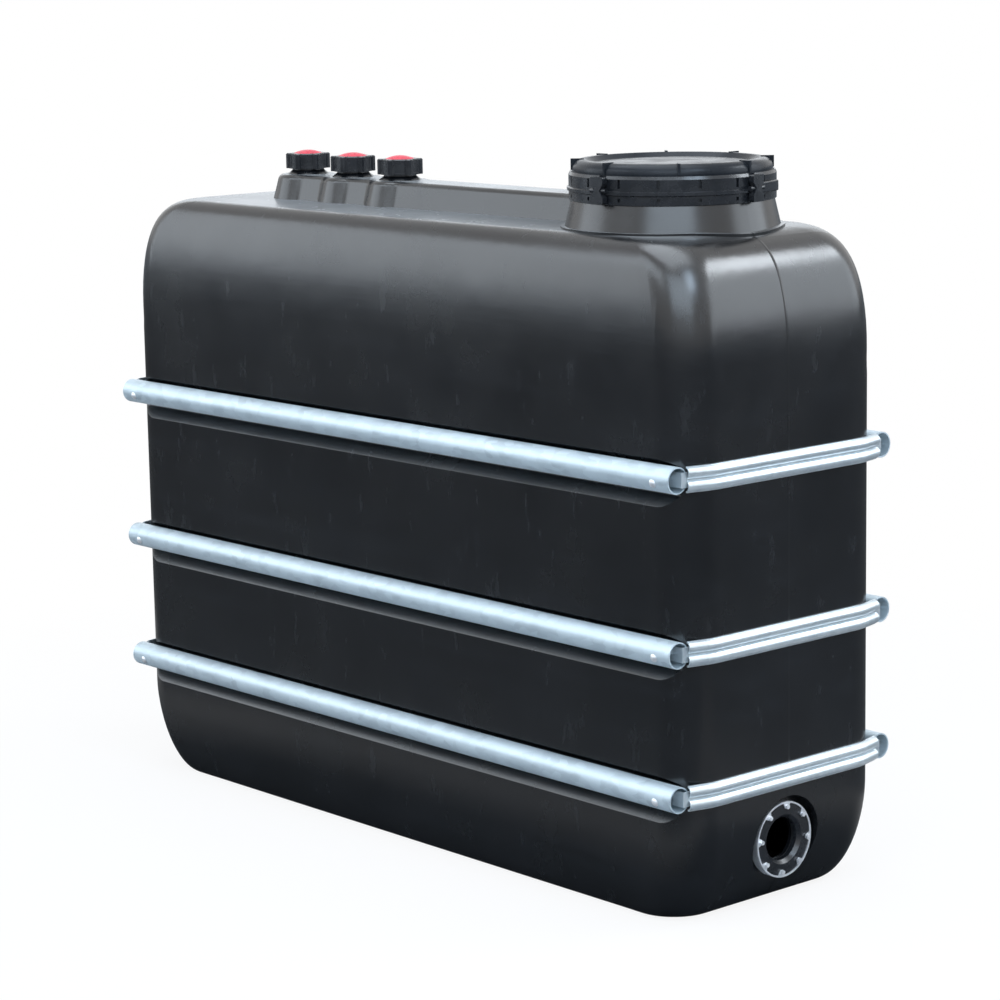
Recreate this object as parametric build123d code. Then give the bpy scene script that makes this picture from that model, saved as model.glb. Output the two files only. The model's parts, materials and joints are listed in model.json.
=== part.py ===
from build123d import *
import math
import os

# Chemical storage tank: a black polyethylene cellar tank held by three galvanised hoops.
# Origin on the floor under the middle of the tank, +X towards the manhole end, +Z up, millimetres.

# Tank body
BODY_LENGTH = 2080.0
BODY_WIDTH = 640.0
CORNER_RADIUS = 97.0
WALL = 8.0
HEEL_HEIGHT = 238.0
HEEL_END_INSET = 101.0
HEEL_SIDE_INSET = 47.0
HEEL_CURVE = 1.8
WALL_TOP = 1193.0
SHOULDER_HEIGHT = 338.0
SHOULDER_END_INSET = 181.0
SHOULDER_SIDE_INSET = 86.0
SHOULDER_CURVE = 3.0
CROWN_HEIGHT = 34.0
CROWN_START_INSET = 890.0
CROWN_END_INSET = 420.0
CROWN_TOP_WIDTH = 100.0
RING_COUNT = 7
CROWN_RING_COUNT = 6

# Hoops: a tube along each long side and a bar across each end
HOOP_HEIGHTS = {"lower": 311.0, "middle": 637.0, "upper": 1024.0}
TUBE_END_INSET = 17.0
TUBE_RADIUS = 30.0
TUBE_WALL = 3.0
TUBE_STANDOFF = 10.0
TROUGH_LIP = 38.0
TROUGH_FLOOR_TOP = 24.0
TROUGH_FLOOR_BOTTOM = 40.0
TROUGH_SILL = 68.0
TROUGH_ROUND = 14.0
BAR_HEIGHT = 58.0
BAR_SHEET = 3.0
BEAD_WIDTH = 27.0
BEAD_DEPTH = 13.0
BAR_BEND_INSET = 78.0
BAR_BEND_RADIUS = 150.0
BAR_START_INSET = 24.0
BAR_TUBE_GAP = 1.5
TONGUE_HEIGHT = 34.0
TONGUE_SHEET = 4.0
TONGUE_LENGTH = 68.0
TONGUE_OFFSET = 9.0
PIN_RADIUS = 6.0
PIN_HEAD_RADIUS = 10.0
PIN_HEAD_HEIGHT = 5.0
PIN_INSET = 48.0
PIN_TILT = 15.0

# Filler ridge with three screw caps
CAP_INSETS = (377.0, 563.0, 751.0)
RIDGE_END_REACH = 120.0
RIDGE_WIDTH_START = 120.0
RIDGE_WIDTH_END = 96.0
RIDGE_PAD_RADIUS = 75.0
RIDGE_HEIGHT = 28.0
RIDGE_DRAFT = 15.0
RIDGE_ROUND = 15.0
RIDGE_SCALLOP = 42.0
NECK_RADIUS = 41.0
NECK_WALL = 6.0
NECK_HEIGHT = 44.0
NECK_FLARE_RADIUS = 54.0
NECK_FLARE_HEIGHT = 10.0
CAP_RADIUS = 46.0
CAP_LIFT = 14.0
CAP_LIP = 4.0
CAP_LUGS = 6
CAP_TURN = 49.0
CAP_BEVEL = 2.5
LUG_RADIUS = 11.0
CAP_SKIRT_RADIUS = 50.0
CAP_SKIRT_HEIGHT = 5.0
DISC_RADIUS = 36.0
DISC_FLANGE = 4.0
DISC_DOME = 8.0

# Manhole
MANHOLE_INSET = 360.0
COLLAR_HEIGHT = 64.5
COLLAR_LEDGE = 4.0
COLLAR_FLARE = 15.0
COLLAR_WALL = 10.0
FOOT_WIDTH = 9.0
FOOT_HEIGHT = 5.0
SPIGOT_RADIUS = 228.0
SPIGOT_HEIGHT = 52.0
GASKET_THICKNESS = 4.0
LID_SHEET = 5.0
LID_HEIGHT = 34.0
LID_ROUND = 22.0
LID_CREST = 8.0
LID_BOWL_INSET = 20.0
LID_BOWL = 10.0
LID_DOME = 6.0
LID_FINS = 8
FIN_WIDTH = 6.0
FIN_LENGTH = 30.0
FIN_HEIGHT = 26.0
FIN_OVERHANG = 3.0
FIN_RISE = 2.0
CLAMP_THICKNESS = 8.0
CLAMP_HEIGHT = 64.0
CLAMP_LIP_HEIGHT = 22.0
CLAMP_LIP_WIDTH = 7.0
CLAMP_LIP_REACH = 4.0
CLAMP_BEVEL = 7.0
CLAMP_SEGMENTS = 4
CLAMP_FIRST_ANGLE = -86.0
CLAMP_GAP_ANGLE = 5.0
CLAMP_SLOTS = 4
SLOT_WIDTH = 7.0
SLOT_HEIGHT = 20.0
SLOT_DEPTH = 5.0
NOTCH_HEIGHT = 8.0
CLOSURE_WIDTH = 36.0
CLOSURE_WAIST = 16.0
CLOSURE_DEPTH = 15.0
CLOSURE_HEIGHT = 60.0
BOLT_LENGTH = 46.0
BOLT_RADIUS = 5.5
LEVER_CLOSURE = 1
LEVER_LENGTH = 92.0
LEVER_HEIGHT = 24.0
LEVER_THICKNESS = 11.0

# Outlet flange
OUTLET_HEIGHT = 154.5
OUTLET_BORE_RADIUS = 50.0
POCKET_RADIUS = 105.0
POCKET_FLOOR_INSET = 38.0
PAD_RADIUS = 98.0
PAD_DEPTH = 60.0
OUTLET_GASKET_THICKNESS = 3.0
FLANGE_RADIUS = 84.0
FLANGE_THICKNESS = 20.0
MOUTH_WIDTH = 8.0
MOUTH_DEPTH = 8.0
RING_WIDTH = 4.0
RING_FACE = 2.0
TAB_LENGTH = 13.0
TAB_BASE_WIDTH = 24.0
TAB_TIP_WIDTH = 8.0
OUTLET_BOLTS = 8
OUTLET_FIRST_ANGLE = -6.0
OUTLET_BOLT_CIRCLE = 76.0
OUTLET_HEAD_RADIUS = 5.5
OUTLET_HEAD_HEIGHT = 5.0

# Clearance between pieces that rest on each other
SEAT_GAP = 0.3

HALF_LENGTH = BODY_LENGTH / 2
HALF_WIDTH = BODY_WIDTH / 2
SHOULDER_TOP = WALL_TOP + SHOULDER_HEIGHT
BODY_TOP = SHOULDER_TOP + CROWN_HEIGHT
END_PLANE = HALF_LENGTH - CORNER_RADIUS
MANHOLE_X = HALF_LENGTH - MANHOLE_INSET
CAP_PLACES = [inset - HALF_LENGTH for inset in CAP_INSETS]
RIDGE_END = MANHOLE_X - RIDGE_END_REACH
CROWN_START = CROWN_START_INSET - HALF_LENGTH
CROWN_END = HALF_LENGTH - CROWN_END_INSET
TUBE_Y = HALF_WIDTH + TUBE_STANDOFF
TUBE_END = HALF_LENGTH - TUBE_END_INSET
TROUGH_FLOOR_Y = TUBE_Y - TUBE_RADIUS - SEAT_GAP
RIDGE_TOP = BODY_TOP + RIDGE_HEIGHT
RIDGE_BASE = SHOULDER_TOP - 2 * WALL
NECK_TOP = RIDGE_TOP + SEAT_GAP + NECK_HEIGHT
COLLAR_TOP = SHOULDER_TOP + COLLAR_HEIGHT
COLLAR_TOP_RADIUS = SPIGOT_RADIUS + COLLAR_LEDGE
SPIGOT_TOP = COLLAR_TOP + SPIGOT_HEIGHT
SPIGOT_INNER_RADIUS = SPIGOT_RADIUS - COLLAR_WALL
CLAMP_INNER_RADIUS = SPIGOT_RADIUS + SEAT_GAP
CLAMP_OUTER_RADIUS = CLAMP_INNER_RADIUS + CLAMP_THICKNESS
CLAMP_LIP_RADIUS = CLAMP_OUTER_RADIUS + CLAMP_LIP_REACH
CLAMP_BASE = COLLAR_TOP + SEAT_GAP
LID_BASE = SPIGOT_TOP + GASKET_THICKNESS + 2 * SEAT_GAP
POCKET_X = HALF_LENGTH - POCKET_FLOOR_INSET
FLANGE_X = POCKET_X + OUTLET_GASKET_THICKNESS + 2 * SEAT_GAP
FLANGE_FACE_X = FLANGE_X + FLANGE_THICKNESS
RING_INNER_RADIUS = FLANGE_RADIUS + SEAT_GAP
FAR = 4 * BODY_LENGTH


def plan_ring(height, low, high, half_width, shrink):
    """Rounded rectangle of the body's plan at one height, inside by shrink."""
    corner = min(CORNER_RADIUS, 0.8 * half_width) - shrink
    with BuildSketch(Plane.XY.offset(height)) as ring:
        with Locations(((low + high) / 2, 0)):
            RectangleRounded(high - low - 2 * shrink, 2 * (half_width - shrink), corner)
    return ring.sketch


def curve_points(curve):
    """Steps up a superellipse quarter, each with the share of its inset reached there."""
    points = []
    for step in range(RING_COUNT):
        rise = math.sin(math.pi / 2 * step / (RING_COUNT - 1))
        points.append((rise, 1 - (1 - rise**curve) ** (1 / curve)))
    return points


def heel(shrink):
    """Lower part of the body: the walls curve in to the flat base."""
    rings = []
    for rise, reach in curve_points(HEEL_CURVE):
        height = HEEL_HEIGHT - (HEEL_HEIGHT - shrink) * rise
        half_length = HALF_LENGTH - HEEL_END_INSET * reach
        half_width = HALF_WIDTH - HEEL_SIDE_INSET * reach
        rings.append(plan_ring(height, -half_length, half_length, half_width, shrink))
    return loft(rings)


def shoulder(shrink):
    """Upper part of the body: the walls curve in to the roof."""
    rings = []
    for rise, reach in curve_points(SHOULDER_CURVE):
        height = WALL_TOP + (SHOULDER_HEIGHT - shrink) * rise
        half_length = HALF_LENGTH - SHOULDER_END_INSET * reach
        half_width = HALF_WIDTH - SHOULDER_SIDE_INSET * reach
        rings.append(plan_ring(height, -half_length, half_length, half_width, shrink))
    return loft(rings)


def crown(shrink):
    """Low rise of the roof from the shoulder towards its middle."""
    half_length = HALF_LENGTH - SHOULDER_END_INSET
    half_width = HALF_WIDTH - SHOULDER_SIDE_INSET
    rings = []
    for step in range(CROWN_RING_COUNT):
        share = step / (CROWN_RING_COUNT - 1)
        height = SHOULDER_TOP - shrink + CROWN_HEIGHT * math.sin(math.pi / 2 * share) ** 2
        low = -half_length + (CROWN_START + half_length) * share
        high = half_length + (CROWN_END - half_length) * share
        middle = half_width + (CROWN_TOP_WIDTH / 2 - half_width) * share
        rings.append(plan_ring(height, low, high, middle, shrink))
    return loft(rings)


def body_form(shrink):
    """Whole outer form of the body, or its cavity when shrunk by the wall."""
    plan = plan_ring(HEEL_HEIGHT, -HALF_LENGTH, HALF_LENGTH, HALF_WIDTH, shrink)
    walls = extrude(plan, WALL_TOP - HEEL_HEIGHT)
    return heel(shrink) + walls + shoulder(shrink) + crown(shrink)


def trough_form(grow):
    """Troughs for the hoop tubes along both long sides, with rounded lips."""
    solids = []
    lip_y = HALF_WIDTH + WALL
    for height in HOOP_HEIGHTS.values():
        with BuildSketch(Plane.YZ) as section:
            with BuildLine():
                Polyline(
                    (-lip_y, height + TROUGH_LIP + TROUGH_ROUND),
                    (-HALF_WIDTH, height + TROUGH_LIP),
                    (-TROUGH_FLOOR_Y, height + TROUGH_FLOOR_TOP),
                    (-TROUGH_FLOOR_Y, height - TROUGH_FLOOR_BOTTOM),
                    (-HALF_WIDTH, height - TROUGH_SILL),
                    (-lip_y, height - TROUGH_SILL - TROUGH_ROUND),
                    close=True,
                )
            make_face()
            lips = section.vertices().filter_by_position(Axis.X, -HALF_WIDTH - 1, 1 - HALF_WIDTH)
            fillet(lips, TROUGH_ROUND)
            floor = section.vertices().filter_by_position(Axis.X, -TROUGH_FLOOR_Y - 1, 0)
            fillet(floor, TROUGH_ROUND / 2)
            if grow > 0:
                offset(amount=grow)
        solid = extrude(section.sketch, HALF_LENGTH, both=True)
        solids.append(solid)
        solids.append(mirror(solid, Plane.XZ))
    return solids


def ridge_form(shrink):
    """Raised ridge under the filler necks, with scalloped sides and rounded top edges."""
    start = RIDGE_WIDTH_START / 2 - shrink
    end = RIDGE_WIDTH_END / 2 - shrink
    top = RIDGE_TOP - shrink
    with BuildSketch(Plane.XY.offset(top)) as plan:
        with BuildLine():
            Polyline(
                (CAP_PLACES[0], -start),
                (RIDGE_END, -end),
                (RIDGE_END, end),
                (CAP_PLACES[0], start),
                close=True,
            )
        make_face()
        with Locations([(place, 0) for place in CAP_PLACES]):
            Circle(RIDGE_PAD_RADIUS - shrink)
        corners = plan.vertices().filter_by_position(Axis.X, -FAR, RIDGE_END - 1)
        fillet(corners, RIDGE_SCALLOP + shrink)
    solid = extrude(plan.sketch, RIDGE_BASE - top, taper=-RIDGE_DRAFT)
    edges = solid.faces().sort_by(Axis.Z)[-1].edges()
    return fillet(edges.filter_by_position(Axis.X, -FAR, RIDGE_END - 1), RIDGE_ROUND - shrink)


def about_manhole(points):
    """Solid turned about the manhole axis from the corner points of its half section."""
    with BuildSketch(Plane.XZ) as half:
        with BuildLine():
            Polyline(*points, close=True)
        make_face()
    return Pos(MANHOLE_X, 0, 0) * revolve(half.sketch, Axis.Z)


def collar_radius(depth):
    """Outer radius of the tapered collar at a depth under its top."""
    return COLLAR_TOP_RADIUS + COLLAR_FLARE * depth / COLLAR_HEIGHT


def collar_hole():
    """Space cut from the shell for the collar."""
    depth = COLLAR_HEIGHT + SHOULDER_HEIGHT / 2
    radius = collar_radius(depth) + SEAT_GAP
    top = (COLLAR_TOP_RADIUS + SEAT_GAP, COLLAR_TOP)
    return about_manhole([(0, COLLAR_TOP), top, (radius, COLLAR_TOP - depth), (0, COLLAR_TOP - depth)])


def collar_foot():
    """Raised lip of the roof round the foot of the collar."""
    radius = collar_radius(COLLAR_HEIGHT) + FOOT_WIDTH
    base = SHOULDER_TOP - 2 * WALL
    return body_form(-FOOT_HEIGHT) & Pos(MANHOLE_X, 0, base + WALL * 4) * Cylinder(radius, WALL * 8)


def along_x(solid, x, y, z):
    """Turn a solid made about Z so that its axis lies along X, at a place."""
    return Pos(x, y, z) * Rot(0, 90, 0) * solid


def disc_x(radius, start, length):
    """Cylinder about the outlet axis from start outwards."""
    return along_x(Cylinder(radius, length), start + length / 2, 0, OUTLET_HEIGHT)


def tank_shell():
    """Hollow body with troughs, ridge, manhole opening, filler openings and outlet pocket."""
    reach = POCKET_FLOOR_INSET + WALL
    outer = body_form(0) + collar_foot() + ridge_form(0)
    outer = outer + disc_x(PAD_RADIUS, POCKET_X - PAD_DEPTH, PAD_DEPTH)
    outer = outer - trough_form(0)
    outer = outer - disc_x(POCKET_RADIUS, POCKET_X, FAR)
    cavity = body_form(WALL) + ridge_form(WALL)
    cavity = cavity - trough_form(WALL)
    cavity = cavity - disc_x(POCKET_RADIUS + WALL, HALF_LENGTH - reach, reach)
    shell = outer - cavity - collar_hole()
    shell = shell - disc_x(OUTLET_BORE_RADIUS, POCKET_X - PAD_DEPTH, 2 * PAD_DEPTH)
    for place in CAP_PLACES:
        shell = shell - Pos(place, 0, RIDGE_TOP) * Cylinder(NECK_RADIUS - NECK_WALL, 4 * WALL)
    return shell


def block(low, high):
    """Box between two corner points."""
    size = [b - a for a, b in zip(low, high)]
    middle = [(a + b) / 2 for a, b in zip(low, high)]
    return Pos(*middle) * Box(*size)


def shell_nodes():
    """The shell as floor, two long walls, two ends and roof, which meet face to face."""
    shell = tank_shell()
    middle = shell & block((-END_PLANE, -FAR, -FAR), (END_PLANE, FAR, FAR))
    return {
        "tank_floor": middle & block((-FAR, -FAR, -FAR), (FAR, FAR, HEEL_HEIGHT)),
        "tank_front_wall": middle & block((-FAR, -FAR, HEEL_HEIGHT), (FAR, 0, WALL_TOP)),
        "tank_back_wall": middle & block((-FAR, 0, HEEL_HEIGHT), (FAR, FAR, WALL_TOP)),
        "tank_roof": middle & block((-FAR, -FAR, WALL_TOP), (FAR, FAR, FAR)),
        "tank_outlet_end": shell & block((END_PLANE, -FAR, -FAR), (FAR, FAR, FAR)),
        "tank_filler_end": shell & block((-FAR, -FAR, -FAR), (-END_PLANE, FAR, FAR)),
    }


def filler_neck(place):
    """Threaded neck that stands on the ridge round each filler opening."""
    with BuildSketch(Plane.XZ) as half:
        with BuildLine():
            Polyline(
                (NECK_RADIUS - NECK_WALL, 0),
                (NECK_FLARE_RADIUS, 0),
                (NECK_RADIUS, NECK_FLARE_HEIGHT),
                (NECK_RADIUS, NECK_HEIGHT),
                (NECK_RADIUS - NECK_WALL, NECK_HEIGHT),
                close=True,
            )
        make_face()
    return Pos(place, 0, RIDGE_TOP + SEAT_GAP) * revolve(half.sketch, Axis.Z)


def screw_cap(place):
    """Union nut with round gripping lugs, open in the middle over its closing disc."""
    lip_base = NECK_TOP + DISC_FLANGE + 2 * SEAT_GAP
    top = lip_base + CAP_LIP
    base = RIDGE_TOP + CAP_LIFT
    with BuildSketch(Plane.XY.offset(base)) as plan:
        Circle(CAP_RADIUS)
        with PolarLocations(CAP_RADIUS, CAP_LUGS, CAP_TURN):
            Circle(LUG_RADIUS)
        fillet(plan.vertices(), LUG_RADIUS / 2)
    nut = extrude(plan.sketch, top - base)
    nut = chamfer(nut.edges().group_by(Axis.Z)[-1], CAP_BEVEL)
    nut = nut + Pos(0, 0, base + CAP_SKIRT_HEIGHT / 2) * Cylinder(CAP_SKIRT_RADIUS, CAP_SKIRT_HEIGHT)
    nut = nut - Pos(0, 0, base) * Cylinder(NECK_RADIUS + SEAT_GAP, 2 * (lip_base - base))
    nut = nut - Pos(0, 0, top) * Cylinder(DISC_RADIUS + SEAT_GAP, 4 * CAP_LIP)
    return Pos(place, 0, 0) * nut


def dome_arc(radius, base, rise):
    """Arc of a shallow dome from its edge to its top on the Z axis."""
    sphere = (radius**2 + rise**2) / (2 * rise)
    half_angle = math.asin(radius / sphere) / 2
    middle = (sphere * math.sin(half_angle), base + rise - sphere * (1 - math.cos(half_angle)))
    return ThreePointArc((radius, base), middle, (0, base + rise))


def closing_disc(place):
    """Coloured disc that the union nut presses on the neck."""
    rise = DISC_FLANGE + CAP_LIP + SEAT_GAP
    with BuildSketch(Plane.XZ) as half:
        with BuildLine():
            Polyline(
                (0, rise + DISC_DOME),
                (0, 0),
                (NECK_RADIUS, 0),
                (NECK_RADIUS, DISC_FLANGE),
                (DISC_RADIUS, DISC_FLANGE),
                (DISC_RADIUS, rise),
            )
            dome_arc(DISC_RADIUS, rise, DISC_DOME)
        make_face()
    return Pos(place, 0, NECK_TOP + SEAT_GAP) * revolve(half.sketch, Axis.Z)


def manhole_collar():
    """Tapered collar with a ledge for the clamp ring and a spigot that the lid closes."""
    depth = COLLAR_HEIGHT + 2 * WALL
    return about_manhole(
        [
            (collar_radius(depth), COLLAR_TOP - depth),
            (COLLAR_TOP_RADIUS, COLLAR_TOP),
            (SPIGOT_RADIUS, COLLAR_TOP),
            (SPIGOT_RADIUS, SPIGOT_TOP),
            (SPIGOT_INNER_RADIUS, SPIGOT_TOP),
            (SPIGOT_INNER_RADIUS, COLLAR_TOP - WALL),
            (collar_radius(depth) - COLLAR_WALL, COLLAR_TOP - depth),
        ]
    )


def manhole_gasket():
    base = SPIGOT_TOP + SEAT_GAP
    top = base + GASKET_THICKNESS
    inner, outer = SPIGOT_INNER_RADIUS, SPIGOT_RADIUS
    return about_manhole([(inner, base), (outer, base), (outer, top), (inner, top)])


def lid_form(edge, sheet):
    """Lid down to its seat, inside its surface by edge at the side and by sheet at the top."""
    outer = SPIGOT_RADIUS - edge
    crest = SPIGOT_RADIUS - LID_ROUND
    top = LID_HEIGHT - sheet
    bend = crest + (outer - crest) * math.sqrt(0.5)
    bend_height = top - (outer - crest) * (1 - math.sqrt(0.5))
    bowl = crest - LID_BOWL_INSET
    with BuildSketch(Plane.XZ) as half:
        with BuildLine():
            Polyline((0, top - LID_BOWL + LID_DOME), (0, 0), (outer, 0), (outer, top - outer + crest))
            ThreePointArc((outer, top - outer + crest), (bend, bend_height), (crest, top))
            Polyline((crest, top), (crest - LID_CREST, top), (bowl, top - LID_BOWL))
            dome_arc(bowl, top - LID_BOWL, LID_DOME)
        make_face()
    return Pos(MANHOLE_X, 0, LID_BASE) * revolve(half.sketch, Axis.Z)


def manhole_lid():
    """Lid with a rounded rim round a low dome, and fins on the rim."""
    lid = lid_form(0, 0)
    fin = Box(FIN_LENGTH, FIN_WIDTH, FIN_HEIGHT)
    place = Pos(MANHOLE_X, 0, LID_BASE + LID_HEIGHT + FIN_RISE - FIN_HEIGHT / 2)
    for spot in PolarLocations(SPIGOT_RADIUS + FIN_OVERHANG - FIN_LENGTH / 2, LID_FINS, CLAMP_FIRST_ANGLE):
        lid = lid + place * spot * fin
    return lid - lid_form(COLLAR_WALL, LID_SHEET)


def clamp_angle(index):
    return CLAMP_FIRST_ANGLE + 360 / CLAMP_SEGMENTS * index


def clamp_segment(index):
    """Part of the clamp ring between two closures, with a lip and rows of slots."""
    arc = 360 / CLAMP_SEGMENTS - CLAMP_GAP_ANGLE
    inner, outer = CLAMP_INNER_RADIUS, CLAMP_OUTER_RADIUS
    lip_top = CLAMP_LIP_HEIGHT + CLAMP_LIP_WIDTH
    with BuildSketch(Plane.XZ) as section:
        with BuildLine():
            Polyline(
                (inner, 0),
                (outer, 0),
                (outer, CLAMP_LIP_HEIGHT - CLAMP_LIP_REACH / 2),
                (CLAMP_LIP_RADIUS, CLAMP_LIP_HEIGHT),
                (CLAMP_LIP_RADIUS, lip_top),
                (outer, lip_top + CLAMP_LIP_REACH / 2),
                (outer, CLAMP_HEIGHT - CLAMP_BEVEL),
                (outer - CLAMP_BEVEL / 2, CLAMP_HEIGHT),
                (inner, CLAMP_HEIGHT),
                close=True,
            )
        make_face()
    ring = Rot(0, 0, -arc / 2) * revolve(section.sketch, Axis.Z, revolution_arc=arc)
    upper = (lip_top + CLAMP_HEIGHT) / 2
    for slot in range(CLAMP_SLOTS):
        turn = Rot(0, 0, 360 / CLAMP_SEGMENTS * ((slot + 0.5) / CLAMP_SLOTS - 0.5))
        ring = ring - turn * Pos(outer, 0, upper) * Box(2 * SLOT_DEPTH, SLOT_WIDTH, SLOT_HEIGHT)
        lower = turn * Pos(outer, 0, CLAMP_LIP_HEIGHT / 2)
        ring = ring - lower * Box(2 * SLOT_DEPTH, SLOT_WIDTH, NOTCH_HEIGHT)
    middle = clamp_angle(index) + 180 / CLAMP_SEGMENTS
    return Pos(MANHOLE_X, 0, CLAMP_BASE) * Rot(0, 0, middle) * ring


def clamp_closure(index):
    """Waisted block with a bolt that draws two segments of the clamp ring together."""
    back = CLAMP_LIP_RADIUS * math.cos(math.radians(CLAMP_GAP_ANGLE / 2)) + SEAT_GAP
    half = CLOSURE_HEIGHT / 2
    with BuildSketch(Plane.YZ.offset(back)) as outline:
        with BuildLine():
            Polyline(
                (CLOSURE_WIDTH / 2, half),
                (CLOSURE_WIDTH / 2, half / 2),
                (CLOSURE_WAIST / 2, 0),
                (CLOSURE_WIDTH / 2, -half / 2),
                (CLOSURE_WIDTH / 2, -half),
                (-CLOSURE_WIDTH / 2, -half),
                (-CLOSURE_WIDTH / 2, -half / 2),
                (-CLOSURE_WAIST / 2, 0),
                (-CLOSURE_WIDTH / 2, half / 2),
                (-CLOSURE_WIDTH / 2, half),
                close=True,
            )
        make_face()
        fillet(outline.vertices(), CLOSURE_WAIST / 4)
    closure = extrude(outline.sketch, CLOSURE_DEPTH)
    bolt = Rot(90, 0, 0) * Cylinder(BOLT_RADIUS, BOLT_LENGTH)
    closure = closure + Pos(back + CLOSURE_DEPTH / 2, 0, 0) * bolt
    if index == LEVER_CLOSURE:
        closure = closure + closure_lever()
    place = Pos(MANHOLE_X, 0, CLAMP_BASE + CLAMP_HEIGHT / 2)
    return place * Rot(0, 0, clamp_angle(index)) * closure


def closure_lever():
    """Curved lever that lies along the clamp ring from its closure."""
    inner = CLAMP_LIP_RADIUS + SEAT_GAP
    with BuildSketch(Plane.XZ) as section:
        with Locations((inner + LEVER_THICKNESS / 2, 0)):
            RectangleRounded(LEVER_THICKNESS, LEVER_HEIGHT, LEVER_THICKNESS / 4)
    return revolve(section.sketch, Axis.Z, revolution_arc=math.degrees(LEVER_LENGTH / inner))


def pin_axis(end, side, height):
    """Place of one pin: on the tube's axis, pointing outwards and a little down."""
    return Pos(end * (TUBE_END - PIN_INSET), side * TUBE_Y, height) * Rot(-side * (90 + PIN_TILT), 0, 0)


def pin_hole(start, end):
    """Hole along a pin's axis between two distances from the tube's axis."""
    return Pos(0, 0, (start + end) / 2) * Cylinder(PIN_RADIUS + SEAT_GAP, end - start)


def hoop_tube(side, height):
    """Tube in the trough of one long side, with a hole for the pin near both ends."""
    length = 2 * TUBE_END
    tube = Cylinder(TUBE_RADIUS, length) - Cylinder(TUBE_RADIUS - TUBE_WALL, length)
    tube = along_x(tube, 0, side * TUBE_Y, height)
    for end in (-1, 1):
        tube = tube - pin_axis(end, side, height) * pin_hole(0, 2 * TUBE_RADIUS)
    return tube


def bar_section(plane):
    """Rolled sheet profile of the end bars: two hollow beads beside a narrow flat channel."""
    with BuildSketch(plane) as section:
        Rectangle(2 * BAR_SHEET, BAR_HEIGHT)
        with Locations((0, BAR_HEIGHT / 4), (0, -BAR_HEIGHT / 4)):
            Ellipse(BEAD_DEPTH, BEAD_WIDTH / 2)
            Ellipse(BEAD_DEPTH - BAR_SHEET, BEAD_WIDTH / 2 - BAR_SHEET, mode=Mode.SUBTRACT)
        with Locations((-BEAD_DEPTH, 0)):
            Rectangle(2 * BEAD_DEPTH, BAR_HEIGHT, mode=Mode.SUBTRACT)
    return section.sketch


def end_bar(end, height):
    """Bar across one end, bent back at both sides, with a flat tongue in each tube."""
    back = HALF_LENGTH + SEAT_GAP
    start = TUBE_END + BAR_TUBE_GAP
    start_y = TUBE_Y - BAR_START_INSET
    bend_y = HALF_WIDTH - BAR_BEND_INSET
    path = FilletPolyline(
        (start, -start_y, height),
        (back, -bend_y, height),
        (back, bend_y, height),
        (start, start_y, height),
        radius=BAR_BEND_RADIUS,
    )
    plane = Plane(path @ 0, x_dir=(path % 0).cross(Vector(0, 0, 1)), z_dir=path % 0)
    bar = sweep(bar_section(plane), path)
    for side in (-1, 1):
        bar = bar + bar_tongue(side, height)
        bar = bar - pin_axis(1, side, height) * pin_hole(-2 * TONGUE_OFFSET, 0)
    if end < 0:
        bar = mirror(bar, Plane.YZ)
    return bar


def bar_tongue(side, height):
    """Flat tongue from the end of a bar round into the tube."""
    x = TUBE_END + BAR_TUBE_GAP + TONGUE_SHEET / 2
    y = TUBE_Y - TONGUE_OFFSET
    with BuildSketch(Plane.XY.offset(height - TONGUE_HEIGHT / 2)) as flat:
        with BuildLine():
            line = Polyline(
                (x, side * (TUBE_Y - BAR_START_INSET - 2 * TONGUE_SHEET)),
                (x, side * y),
                (TUBE_END - TONGUE_LENGTH, side * y),
            )
            offset(line, TONGUE_SHEET / 2, side=Side.BOTH)
        make_face()
    return extrude(flat.sketch, TONGUE_HEIGHT)


def hoop_pins(height):
    """Domed pins that hold the tongues of one hoop's bars in its tubes."""
    seat = TUBE_RADIUS + SEAT_GAP
    with BuildSketch(Plane.XZ) as half:
        with BuildLine():
            Polyline(
                (0, seat + PIN_HEAD_HEIGHT),
                (0, -TONGUE_OFFSET - TONGUE_SHEET),
                (PIN_RADIUS, -TONGUE_OFFSET - TONGUE_SHEET),
                (PIN_RADIUS, seat),
                (PIN_HEAD_RADIUS, seat),
            )
            dome_arc(PIN_HEAD_RADIUS, seat, PIN_HEAD_HEIGHT)
        make_face()
    pin = revolve(half.sketch, Axis.Z)
    return Compound([pin_axis(end, side, height) * pin for end in (-1, 1) for side in (-1, 1)])


def outlet_gasket():
    disc = disc_x(FLANGE_RADIUS, POCKET_X + SEAT_GAP, OUTLET_GASKET_THICKNESS)
    return disc - disc_x(OUTLET_BORE_RADIUS + 1, POCKET_X + SEAT_GAP, OUTLET_GASKET_THICKNESS)


def outlet_flange():
    """Flange with a bore that opens in a conical mouth."""
    flange = disc_x(FLANGE_RADIUS, FLANGE_X, FLANGE_THICKNESS)
    flange = flange - disc_x(OUTLET_BORE_RADIUS, FLANGE_X, FLANGE_THICKNESS)
    mouth = Cone(OUTLET_BORE_RADIUS, OUTLET_BORE_RADIUS + MOUTH_WIDTH, MOUTH_DEPTH)
    return flange - along_x(mouth, FLANGE_FACE_X - MOUTH_DEPTH / 2, 0, OUTLET_HEIGHT)


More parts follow.
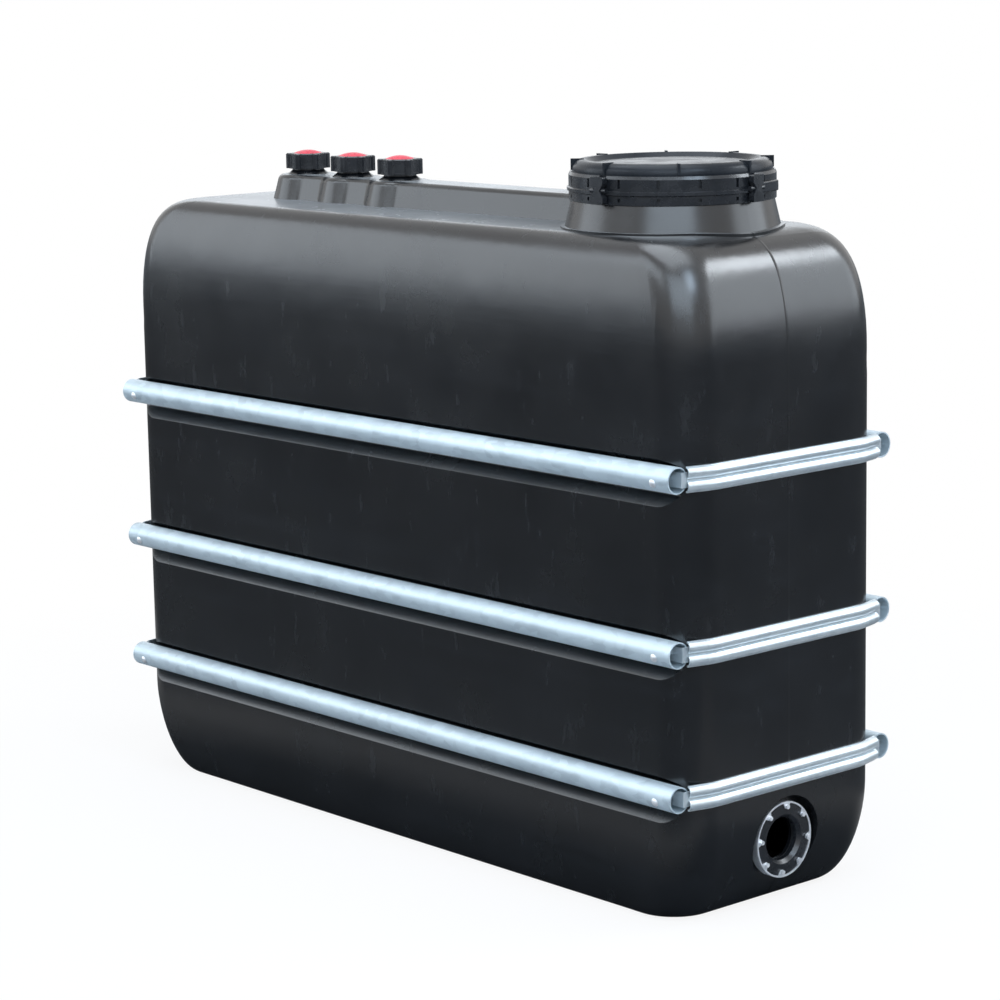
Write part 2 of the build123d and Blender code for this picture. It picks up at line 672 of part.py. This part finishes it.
def outlet_ring():
    """Metal band round the flange with flat tabs turned in over its face."""
    base = FLANGE_FACE_X + SEAT_GAP
    depth = base + RING_FACE - FLANGE_X
    band = disc_x(RING_INNER_RADIUS + RING_WIDTH, FLANGE_X, depth)
    band = band - disc_x(RING_INNER_RADIUS, FLANGE_X, depth)
    inner, outer = RING_INNER_RADIUS - TAB_LENGTH, RING_INNER_RADIUS + RING_WIDTH / 2
    with BuildSketch() as tabs:
        with PolarLocations(0, OUTLET_BOLTS, OUTLET_FIRST_ANGLE):
            Polygon(
                (outer, TAB_BASE_WIDTH / 2),
                (inner, TAB_TIP_WIDTH / 2),
                (inner, -TAB_TIP_WIDTH / 2),
                (outer, -TAB_BASE_WIDTH / 2),
                align=None,
            )
    return band + along_x(extrude(tabs.sketch, RING_FACE), base, 0, OUTLET_HEIGHT)


def outlet_bolts():
    with BuildSketch() as heads:
        with PolarLocations(OUTLET_BOLT_CIRCLE, OUTLET_BOLTS, OUTLET_FIRST_ANGLE):
            RegularPolygon(OUTLET_HEAD_RADIUS, 6)
    base = FLANGE_FACE_X + RING_FACE + 2 * SEAT_GAP
    return along_x(extrude(heads.sketch, OUTLET_HEAD_HEIGHT), base, 0, OUTLET_HEIGHT)


def hoop_nodes():
    nodes = {}
    for level, height in HOOP_HEIGHTS.items():
        nodes[f"{level}_hoop_front_tube"] = hoop_tube(-1, height)
        nodes[f"{level}_hoop_back_tube"] = hoop_tube(1, height)
        nodes[f"{level}_hoop_outlet_bar"] = end_bar(1, height)
        nodes[f"{level}_hoop_filler_bar"] = end_bar(-1, height)
        nodes[f"{level}_hoop_pins"] = hoop_pins(height)
    return nodes


def filler_nodes():
    nodes = {}
    for index, place in enumerate(CAP_PLACES, start=1):
        nodes[f"filler_neck_{index}"] = filler_neck(place)
        nodes[f"filler_cap_{index}"] = screw_cap(place)
        nodes[f"filler_disc_{index}"] = closing_disc(place)
    return nodes


def manhole_nodes():
    nodes = {
        "manhole_collar": manhole_collar(),
        "manhole_gasket": manhole_gasket(),
        "manhole_lid": manhole_lid(),
    }
    for index in range(CLAMP_SEGMENTS):
        nodes[f"clamp_segment_{index + 1}"] = clamp_segment(index)
        nodes[f"clamp_closure_{index + 1}"] = clamp_closure(index)
    return nodes


def outlet_nodes():
    return {
        "outlet_gasket": outlet_gasket(),
        "outlet_flange": outlet_flange(),
        "outlet_ring": outlet_ring(),
        "outlet_bolts": outlet_bolts(),
    }


def main():
    os.makedirs("parts", exist_ok=True)
    nodes = {**shell_nodes(), **hoop_nodes(), **filler_nodes(), **manhole_nodes(), **outlet_nodes()}
    for name, solid in nodes.items():
        export_step(solid, f"parts/{name}.step")


main()
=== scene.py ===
import json
import math

import bmesh
import bpy
from mathutils import Matrix, Vector

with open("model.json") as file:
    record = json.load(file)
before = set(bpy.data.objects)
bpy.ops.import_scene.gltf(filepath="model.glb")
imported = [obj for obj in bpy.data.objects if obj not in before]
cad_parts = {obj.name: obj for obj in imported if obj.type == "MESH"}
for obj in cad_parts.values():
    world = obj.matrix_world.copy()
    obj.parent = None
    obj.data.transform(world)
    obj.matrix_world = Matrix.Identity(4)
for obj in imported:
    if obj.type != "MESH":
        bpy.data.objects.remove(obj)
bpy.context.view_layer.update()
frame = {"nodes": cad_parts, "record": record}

# Camera of the photograph: its focal length in image heights, its angles and its aim
FOCAL_IN_HEIGHTS = 3.047
SENSOR_MM = 36.0
CAMERA_YAW = math.radians(48.62)
CAMERA_PITCH = math.radians(10.27)
CAMERA_ROLL = math.radians(-0.973)
CAMERA_AIM = Vector((0.0688, 0.0, 0.8199))
CAMERA_DISTANCE = 7.522

# Tank's shoulder, which begins at the top of the walls: the band in which it is shaded level
SHOULDER_FOOT = max(corner[2] for corner in frame["nodes"]["tank_front_wall"].bound_box)
LEVEL_BAND = 0.025
LEVEL_FADE = 0.075

# Parting seam in the tank's middle plane, which stops short of the roof
SEAM_TOP = 1.53
SEAM_HALF_WIDTH = 0.0022
SEAM_DEPTH = 0.0012

# World: its soft light, and how far above the horizon gloss sees full white
SKY_COLOUR = (0.78, 0.88, 1.0)
SKY_STRENGTH = 0.3
HORIZON_FADE = 0.08

# Floor disc, just under the tank's base
FLOOR_RADIUS = 14.0
FLOOR_DROP = 0.0005
FLOOR_CORNERS = 96

# Camera's view of the floor: its share of plain white near the tank, and the distances over which
# it fades to all white, with a unit that keeps them between 0 and 1 on a ramp
NEAR_WHITE = 0.88
FADE_START = 1.0
FADE_END = 3.0
FADE_UNIT = 4.0

# Glowing strip, a painted reflection, that gloss sees on the floor beside the tank, by distance from its
# long axis
STRIP_SQUASH = 0.1
STRIP_START = 0.5
STRIP_FULL = 0.8
STRIP_FADE = 0.9
STRIP_END = 1.0
STRIP_GLOW = 0.30
BEYOND_GLOW = 0.02

# Places of the Mix node's sockets for its factor and two colours, and of its result
MIX_INPUTS = (0, 6, 7)
MIX_RESULT = 2


def set_camera():
    """Camera at the photograph's viewing angle."""
    towards = Vector((
        -math.sin(CAMERA_YAW) * math.cos(CAMERA_PITCH),
        math.cos(CAMERA_YAW) * math.cos(CAMERA_PITCH),
        -math.sin(CAMERA_PITCH),
    ))
    right = towards.cross(Vector((0, 0, 1))).normalized()
    up = right.cross(towards)
    rolled_right = right * math.cos(CAMERA_ROLL) + up * math.sin(CAMERA_ROLL)
    rolled_up = up * math.cos(CAMERA_ROLL) - right * math.sin(CAMERA_ROLL)
    data = bpy.data.cameras.new("camera")
    data.sensor_width = SENSOR_MM
    data.lens = FOCAL_IN_HEIGHTS * SENSOR_MM
    camera = bpy.data.objects.new("camera", data)
    bpy.context.scene.collection.objects.link(camera)
    turn = Matrix((rolled_right, rolled_up, -towards)).transposed().to_4x4()
    camera.matrix_world = Matrix.Translation(CAMERA_AIM - towards * CAMERA_DISTANCE) @ turn
    bpy.context.scene.camera = camera


class Nodes:
    """Short helper that builds a node tree on one texture coordinate."""

    def __init__(self, tree, coordinate):
        self.tree = tree
        self.place = self.add("ShaderNodeTexCoord").outputs[coordinate]

    def add(self, kind, **settings):
        node = self.tree.nodes.new(kind)
        for key, value in settings.items():
            setattr(node, key, value)
        return node

    def link(self, source, target):
        self.tree.links.new(source, target)

    def feed(self, socket, value):
        """Links an output to a socket, or writes a number or a colour into it."""
        if hasattr(value, "is_output"):
            self.link(value, socket)
        elif isinstance(value, tuple):
            socket.default_value = (*value, 1)
        else:
            socket.default_value = value

    def texture(self, kind, scale, stretch):
        """Texture of a scale, with the coordinate stretched along each axis."""
        mapping = self.add("ShaderNodeMapping")
        mapping.inputs["Scale"].default_value = stretch
        self.link(self.place, mapping.inputs["Vector"])
        node = self.add(kind)
        node.inputs["Scale"].default_value = scale
        self.link(mapping.outputs["Vector"], node.inputs["Vector"])
        return node

    def noise(self, scale, detail=4.0, roughness=0.55, stretch=(1, 1, 1)):
        node = self.texture("ShaderNodeTexNoise", scale, stretch)
        node.inputs["Detail"].default_value = detail
        node.inputs["Roughness"].default_value = roughness
        return node.outputs["Fac"]

    def cells(self, scale, stretch):
        return self.texture("ShaderNodeTexVoronoi", scale, stretch).outputs["Color"]

    def axis(self, name):
        """One part of the coordinate: metres in a material, a part of the direction in the world."""
        node = self.add("ShaderNodeSeparateXYZ")
        self.link(self.place, node.inputs[0])
        return node.outputs[name]

    def math(self, operation, *values):
        node = self.add("ShaderNodeMath", operation=operation)
        for socket, value in zip(node.inputs, values):
            self.feed(socket, value)
        return node.outputs[0]

    def length(self, first, second):
        """Root of the sum of two squares."""
        return self.math("SQRT", self.math("ADD", first, second))

    def line(self, coordinate, place, half_width):
        """One on a line at a place along a coordinate, fading to nothing at its edges."""
        distance = self.math("ABSOLUTE", self.math("SUBTRACT", coordinate, place))
        return self.ramp(distance, 1.0, 0.0, half_width * 0.3, half_width)

    def ramp(self, source, low, high, start=0.35, end=0.65):
        """Values or colours from low to high as the source rises."""
        node = self.add("ShaderNodeValToRGB")
        for element, place, value in zip(node.color_ramp.elements, (start, end), (low, high)):
            element.position = place
            element.color = (*value, 1) if isinstance(value, tuple) else (value, value, value, 1)
        self.link(source, node.inputs["Fac"])
        return node.outputs["Color"]

    def mix(self, factor, first, second):
        node = self.add("ShaderNodeMix", data_type="RGBA")
        for place, value in zip(MIX_INPUTS, (factor, first, second)):
            self.feed(node.inputs[place], value)
        return node.outputs[MIX_RESULT]

    def drift(self, scale, low, high):
        """Number or colour that drifts between two values over the surface."""
        return self.ramp(self.noise(scale), low, high)

    def tones(self, source, dark, light):
        """Colour between two tones, by a pattern."""
        return self.mix(self.ramp(source, 0.0, 1.0), dark, light)

    def straight(self, path):
        """One for rays that come straight from the camera or through a surface."""
        return self.math("MAXIMUM", path.outputs["Is Camera Ray"], path.outputs["Is Transmission Ray"])

    def join(self, factor, first, second, end):
        """Mixes two shaders and sends the result to the tree's end."""
        choice = self.add("ShaderNodeMixShader")
        self.link(factor, choice.inputs[0])
        self.link(first.outputs[0], choice.inputs[1])
        self.link(second.outputs[0], choice.inputs[2])
        self.link(choice.outputs[0], self.tree.nodes[end].inputs["Surface"])


class Finish(Nodes):
    """Node tree of a new material, in the metres of the shared frame."""

    def __init__(self, name):
        self.material = bpy.data.materials.new(name)
        self.material.use_nodes = True
        self.shader = self.material.node_tree.nodes["Principled BSDF"]
        super().__init__(self.material.node_tree, "Object")

    def upward(self):
        """One where the surface faces straight up, nothing on a wall."""
        node = self.add("ShaderNodeSeparateXYZ")
        self.link(self.add("ShaderNodeNewGeometry").outputs["Normal"], node.inputs[0])
        return node.outputs["Z"]

    def level_normal(self, height, clear, fade):
        """Surface direction, turned level in a band round a height so that a joint there doesn't show."""
        away = self.math("ABSOLUTE", self.math("SUBTRACT", self.axis("Z"), height))
        scale = self.add("ShaderNodeCombineXYZ")
        scale.inputs["X"].default_value = 1.0
        scale.inputs["Y"].default_value = 1.0
        self.link(self.ramp(away, 0.0, 1.0, clear, fade), scale.inputs["Z"])
        level = self.add("ShaderNodeVectorMath", operation="MULTIPLY")
        self.link(self.add("ShaderNodeNewGeometry").outputs["Normal"], level.inputs[0])
        self.link(scale.outputs["Vector"], level.inputs[1])
        unit = self.add("ShaderNodeVectorMath", operation="NORMALIZE")
        self.link(level.outputs["Vector"], unit.inputs[0])
        return unit.outputs["Vector"]

    def bump(self, *layers, normal=None):
        """Stack of bumps, each a source, a depth in metres and a strength."""
        for source, depth, strength in layers:
            node = self.add("ShaderNodeBump")
            node.inputs["Distance"].default_value = depth
            node.inputs["Strength"].default_value = strength
            self.link(source, node.inputs["Height"])
            if normal is not None:
                self.link(normal, node.inputs["Normal"])
            normal = node.outputs["Normal"]
        self.link(normal, self.shader.inputs["Normal"])

    def set(self, **values):
        """Values of the shader's sockets, whose names are written with underscores."""
        for key, value in values.items():
            self.feed(self.shader.inputs[key.replace("_", " ")], value)


def tank_plastic():
    """Satin black moulded polyethylene with a parting seam, faint streaks, scuffs, a fine mottle and a
    painted sheen on its upward faces.
    """
    n = Finish("tank_plastic")
    clouds = n.noise(3.0, detail=5)
    streaks = n.noise(7.0, detail=5, roughness=0.6, stretch=(0.22, 1, 3.0))
    grain = n.noise(320.0, detail=3)
    scuffs = n.ramp(n.noise(26.0, detail=6, roughness=0.65, stretch=(1, 1, 0.3)), 0.0, 1.0, 0.60, 0.72)
    below_roof = n.math("LESS_THAN", n.axis("Z"), SEAM_TOP)
    seam = n.math("MULTIPLY", n.line(n.axis("Y"), 0.0, SEAM_HALF_WIDTH), below_roof)
    base = n.tones(clouds, (0.0035, 0.0040, 0.0050), (0.0060, 0.0066, 0.0080))
    streaked = n.mix(n.ramp(streaks, 0.0, 0.3, 0.52, 0.82), base, (0.016, 0.018, 0.022))
    satin = n.ramp(n.noise(5.0, detail=5), 0.22, 0.28)
    # Painted sheen: faces that point up get a grazing sheen that lightens the roof
    painted_roof_sheen = n.ramp(n.upward(), 0.0, 0.5, 0.90, 0.99)
    n.set(
        Base_Color=n.mix(n.math("MULTIPLY", scuffs, 0.35), streaked, (0.020, 0.022, 0.026)),
        Roughness=n.math("ADD", satin, n.math("MULTIPLY", scuffs, 0.06)),
        IOR=1.54,
        Specular_IOR_Level=0.65,
        Sheen_Weight=n.math("MULTIPLY", painted_roof_sheen, n.ramp(clouds, 0.8, 1.0)),
        Sheen_Roughness=0.35,
    )
    n.bump(
        (grain, 0.0004, 0.22), (streaks, 0.002, 0.10), (clouds, 0.006, 0.10), (seam, SEAM_DEPTH, 0.8),
        normal=n.level_normal(SHOULDER_FOOT, LEVEL_BAND, LEVEL_FADE),
    )
    return n.material


def clamp_plastic():
    """Black injection-moulded plastic of the caps, clamp ring and flange."""
    n = Finish("clamp_plastic")
    n.set(
        Base_Color=n.tones(n.noise(14.0), (0.009, 0.010, 0.012), (0.016, 0.017, 0.020)),
        Roughness=n.drift(30.0, 0.20, 0.32),
        IOR=1.52,
    )
    n.bump((n.noise(420.0, detail=2), 0.0003, 0.3), (n.noise(40.0), 0.001, 0.1))
    return n.material


def lid_plastic():
    """Smooth black plastic of the lid, in gentle waves."""
    n = Finish("lid_plastic")
    n.set(
        Base_Color=n.tones(n.noise(8.0), (0.010, 0.012, 0.015), (0.018, 0.020, 0.024)),
        Roughness=n.drift(18.0, 0.24, 0.36),
        IOR=1.5,
        Specular_IOR_Level=0.15,
    )
    n.bump((n.noise(7.0, detail=2), 0.006, 0.35), (n.noise(200.0, detail=2), 0.0002, 0.15))
    return n.material


def red_plastic():
    """Slightly glossy red plastic of the discs in the filler caps."""
    n = Finish("red_plastic")
    n.set(
        Base_Color=n.tones(n.noise(25.0), (0.52, 0.020, 0.045), (0.62, 0.035, 0.065)),
        Roughness=n.drift(40.0, 0.32, 0.45),
    )
    n.bump((n.noise(300.0, detail=2), 0.0003, 0.25))
    return n.material


def gasket_rubber():
    """Dull black rubber."""
    n = Finish("gasket_rubber")
    n.set(
        Base_Color=n.tones(n.noise(30.0), (0.010, 0.010, 0.011), (0.018, 0.018, 0.019)),
        Roughness=n.drift(50.0, 0.6, 0.8),
    )
    n.bump((n.noise(500.0, detail=2), 0.0003, 0.4))
    return n.material


def zinc(name, dark, bright, smooth, rough, cell_scale, metallic):
    """Galvanised steel: crystal spangle, dull patches and an uneven coat."""
    n = Finish(name)
    spangle = n.cells(cell_scale, (0.5, 1, 1))
    patches = n.noise(16.0, detail=5)
    spangled = n.mix(n.ramp(spangle, 0.0, 1.0, 0.2, 0.8), dark, bright)
    n.set(
        Base_Color=n.mix(n.ramp(patches, 0.25, 0.75), spangled, bright),
        Metallic=metallic,
        Roughness=n.mix(0.5, n.ramp(spangle, smooth, rough, 0.1, 0.9), n.ramp(patches, smooth, rough)),
    )
    n.bump((spangle, 0.0002, 0.1), (n.noise(22.0), 0.0008, 0.15))
    return n.material


def tube_zinc():
    """Dull blue-grey zinc of the hoop tubes."""
    dark = (0.44, 0.52, 0.57)
    bright = (0.60, 0.69, 0.74)
    return zinc("tube_zinc", dark, bright, smooth=0.42, rough=0.58, cell_scale=70.0, metallic=0.6)


def bar_zinc():
    """Brighter zinc of the rolled end bars."""
    dark = (0.64, 0.71, 0.75)
    bright = (0.76, 0.82, 0.85)
    return zinc("bar_zinc", dark, bright, smooth=0.28, rough=0.38, cell_scale=90.0, metallic=0.75)


def pin_steel():
    """Pale zinc-plated steel of the pins, the outlet ring and its bolts."""
    dark = (0.74, 0.76, 0.80)
    bright = (0.90, 0.91, 0.93)
    return zinc("pin_steel", dark, bright, smooth=0.4, rough=0.55, cell_scale=140.0, metallic=0.8)


def set_materials():
    """One finish for each of the record's material slots, given to every node."""
    finishes = {
        "tank_plastic": tank_plastic(),
        "clamp_plastic": clamp_plastic(),
        "lid_plastic": lid_plastic(),
        "red_plastic": red_plastic(),
        "gasket_rubber": gasket_rubber(),
        "tube_zinc": tube_zinc(),
        "bar_zinc": bar_zinc(),
        "pin_steel": pin_steel(),
    }
    for part in frame["record"]["subparts"]:
        node = frame["nodes"][part["node"]]
        node.data.materials.clear()
        node.data.materials.append(finishes[part["material_slot"]])


def set_world():
    """White surroundings for the camera and for gloss above the horizon, and softer light from them."""
    world = bpy.data.worlds.new("studio")
    bpy.context.scene.world = world
    world.use_nodes = True
    n = Nodes(world.node_tree, "Generated")
    light = n.tree.nodes["Background"]
    n.feed(light.inputs["Color"], SKY_COLOUR)
    n.feed(light.inputs["Strength"], SKY_STRENGTH)
    white = n.add("ShaderNodeBackground")
    n.feed(white.inputs["Color"], (1, 1, 1))
    n.feed(white.inputs["Strength"], 1.0)
    path = n.add("ShaderNodeLightPath")
    sky = n.ramp(n.axis("Z"), 0.0, 1.0, 0.0, HORIZON_FADE)
    glossy = n.math("MULTIPLY", path.outputs["Is Glossy Ray"], sky)
    n.join(n.math("MAXIMUM", n.straight(path), glossy), light, white, "World Output")


def floor_finish():
    """White to the camera with a faint shadow, and dark to gloss but for a glowing strip beside the tank,
    which is a painted reflection.
    """
    n = Finish("floor")
    white = n.add("ShaderNodeEmission")
    n.feed(white.inputs["Color"], (1, 1, 1))
    n.feed(white.inputs["Strength"], 1.0)
    path = n.add("ShaderNodeLightPath")
    straight = n.straight(path)
    along = n.math("POWER", n.axis("X"), 2.0)
    across = n.math("POWER", n.axis("Y"), 2.0)
    away = n.math("MULTIPLY", n.length(along, across), 1 / FADE_UNIT)
    far = n.ramp(away, NEAR_WHITE, 1.0, FADE_START / FADE_UNIT, FADE_END / FADE_UNIT)
    beside = n.length(n.math("MULTIPLY", along, STRIP_SQUASH), across)
    inner = n.ramp(beside, 0.0, 1.0, STRIP_START, STRIP_FULL)
    outer = n.ramp(beside, STRIP_GLOW, BEYOND_GLOW, STRIP_FADE, STRIP_END)
    # Painted reflection: gloss sees white glow on the floor in the strip beside the tank
    glossy = n.math("MULTIPLY", path.outputs["Is Glossy Ray"], n.math("MULTIPLY", inner, outer))
    pale = n.math("MAXIMUM", straight, path.outputs["Is Diffuse Ray"])
    n.set(Base_Color=n.mix(pale, (0.03, 0.034, 0.038), (0.85, 0.86, 0.88)), Roughness=0.8)
    seen = n.math("MAXIMUM", n.math("MULTIPLY", straight, far), glossy)
    n.join(seen, n.shader, white, "Material Output")
    return n.material


def set_floor():
    """Round floor, staged so that it is no part of the tank."""
    mesh = bpy.data.meshes.new("floor")
    shape = bmesh.new()
    bmesh.ops.create_circle(shape, cap_ends=True, segments=FLOOR_CORNERS, radius=FLOOR_RADIUS)
    shape.to_mesh(mesh)
    shape.free()
    mesh.materials.append(floor_finish())
    floor = bpy.data.objects.new("floor", mesh)
    floor.location.z = -FLOOR_DROP
    bpy.context.scene.collection.objects.link(floor)


def add_lamp(name, place, aim, size, power, colour):
    data = bpy.data.lights.new(name, "AREA")
    data.shape = "RECTANGLE"
    data.size, data.size_y = size
    data.energy = power
    data.color = colour
    lamp = bpy.data.objects.new(name, data)
    bpy.context.scene.collection.objects.link(lamp)
    lamp.location = place
    lamp.rotation_euler = (Vector(aim) - Vector(place)).to_track_quat("-Z", "Y").to_euler()


def set_lamps():
    """Eight large soft lamps, overhead and all round, aimed at the tank or over it."""
    add_lamp("overhead", place=(0.2, -0.4, 5.2), aim=(0.3, 0, 1.3), size=(4.2, 3.2),
             power=150, colour=(0.82, 0.91, 1.0))
    add_lamp("behind_camera", place=(4.8, -4.4, 5.0), aim=(0.8, 0, 1.5), size=(6.5, 4.0),
             power=270, colour=(0.70, 0.85, 1.0))
    add_lamp("front", place=(-1.4, -4.6, 4.6), aim=(0, 0, 0.8), size=(4.5, 1.8),
             power=75, colour=(0.78, 0.89, 1.0))
    add_lamp("left", place=(-5.2, -4.2, 3.3), aim=(0, 0, 3.3), size=(4.5, 3.8),
             power=110, colour=(0.80, 0.90, 1.0))
    add_lamp("corner", place=(4.4, -1.0, 5.0), aim=(0.95, -0.2, 1.45), size=(1.4, 2.2),
             power=85, colour=(0.64, 0.81, 1.0))
    add_lamp("right_back", place=(4.8, 4.8, 3.4), aim=(0.6, 0, 2.4), size=(5.5, 3.6),
             power=140, colour=(0.80, 0.90, 1.0))
    add_lamp("glow", place=(3.4, 4.1, 5.2), aim=(1.0, 0, 1.5), size=(2.4, 1.4),
             power=120, colour=(0.86, 0.93, 1.0))
    add_lamp("rim", place=(-6.5, 5.6, 3.4), aim=(0.0, 0, 2.6), size=(7.0, 3.0),
             power=50, colour=(0.84, 0.92, 1.0))


def main():
    set_camera()
    set_world()
    set_floor()
    set_lamps()
    set_materials()


main()
bpy.context.scene.view_settings.view_transform = "Standard"
